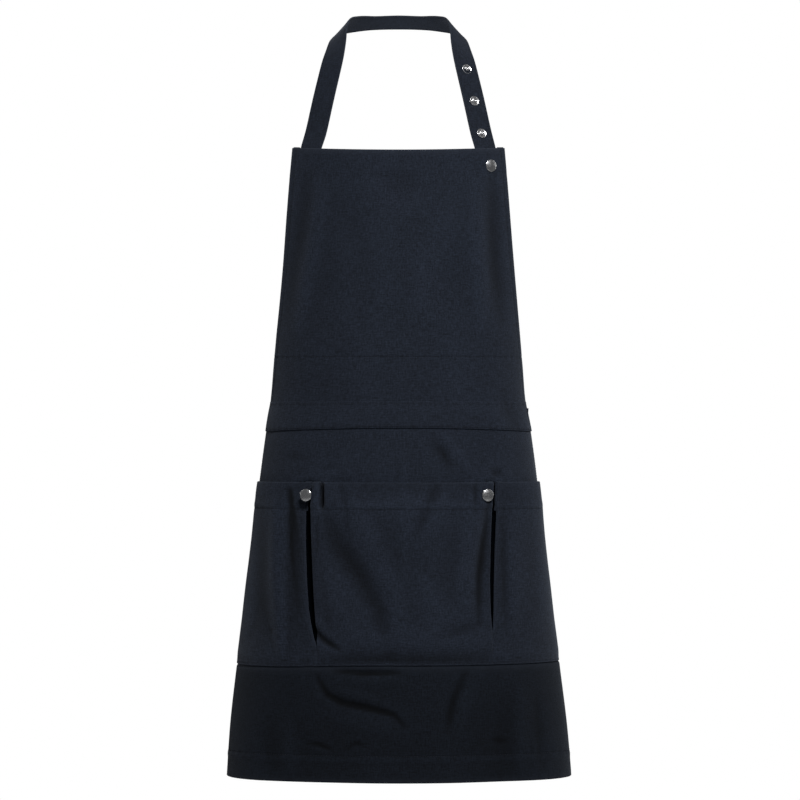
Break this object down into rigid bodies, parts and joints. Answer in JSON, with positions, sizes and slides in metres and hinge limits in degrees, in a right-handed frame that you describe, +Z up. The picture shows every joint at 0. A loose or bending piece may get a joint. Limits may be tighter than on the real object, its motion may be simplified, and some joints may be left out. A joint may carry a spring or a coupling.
{
  "type": "artist smock apron",
  "caption": "Bib apron with a snap-adjusted neck strap, waist ties and a snapped centre pocket between two side pockets.",
  "frame": {"origin": "where the neck strap rests on the nape of the neck", "axes": "+Z up, the front faces -Y, +X to the right seen from the front"},
  "size_m": [0.427, 0.2472, 0.9543],
  "materials": {
    "twill": "woven cotton twill, washed navy black",
    "pocket_twill": "woven cotton twill, washed navy black",
    "webbing": "flat folded twill strap, top-stitched",
    "tie_tape": "flat folded twill tape",
    "snap_metal": "bright nickel plate"
  },
  "bodies": {
    "apron": {"bib_panel": "twill", "bib_side_hem_left": "twill", "bib_side_hem_right": "twill", "bib_snap_cap": "snap_metal", "bib_snap_socket": "snap_metal", "bib_top_facing": "twill", "neck_strap": "webbing", "pocket_pleat_left": "pocket_twill", "pocket_pleat_right": "pocket_twill", "pocket_snap_post_left": "snap_metal", "pocket_snap_post_right": "snap_metal", "pocket_snap_stud_left": "snap_metal", "pocket_snap_stud_right": "snap_metal", "side_pocket_hem_left": "pocket_twill", "side_pocket_hem_right": "pocket_twill", "side_pocket_left": "pocket_twill", "side_pocket_right": "pocket_twill", "skirt_hem": "twill", "skirt_lower_panel": "twill", "skirt_side_hem_left": "twill", "skirt_side_hem_right": "twill", "skirt_upper_panel": "twill", "waist_facing": "twill", "waist_tie_knot": "tie_tape", "waist_tie_left": "tie_tape", "waist_tie_right": "tie_tape", "waistband": "twill"},
    "strap_end": {"neck_strap_end": "webbing", "strap_stud_1": "snap_metal", "strap_stud_2": "snap_metal", "strap_stud_3": "snap_metal", "strap_stud_4": "snap_metal", "strap_post_1": "snap_metal", "strap_post_2": "snap_metal", "strap_post_3": "snap_metal", "strap_post_4": "snap_metal"},
    "centre_pocket": {"centre_pocket_panel": "pocket_twill", "centre_pocket_hem": "pocket_twill", "pocket_snap_cap_left": "snap_metal", "pocket_snap_cap_right": "snap_metal", "pocket_snap_socket_left": "snap_metal", "pocket_snap_socket_right": "snap_metal"}
  },
  "joints": [
    {"name": "neck_strap_unsnap", "type": "hinge", "parent": "apron", "child": "strap_end", "pos_m": [0.0776, -0.1005, -0.0405], "axis": [0.8563, 0.5146, 0.0451], "range_deg": [0, 60]},
    {"name": "centre_pocket_open", "type": "hinge", "parent": "apron", "child": "centre_pocket", "pos_m": [0, -0.2, -0.8015], "axis": [1, 0, 0], "range_deg": [0, 12], "deforming": ["pocket_pleat_left", "pocket_pleat_right"]}
  ]
}
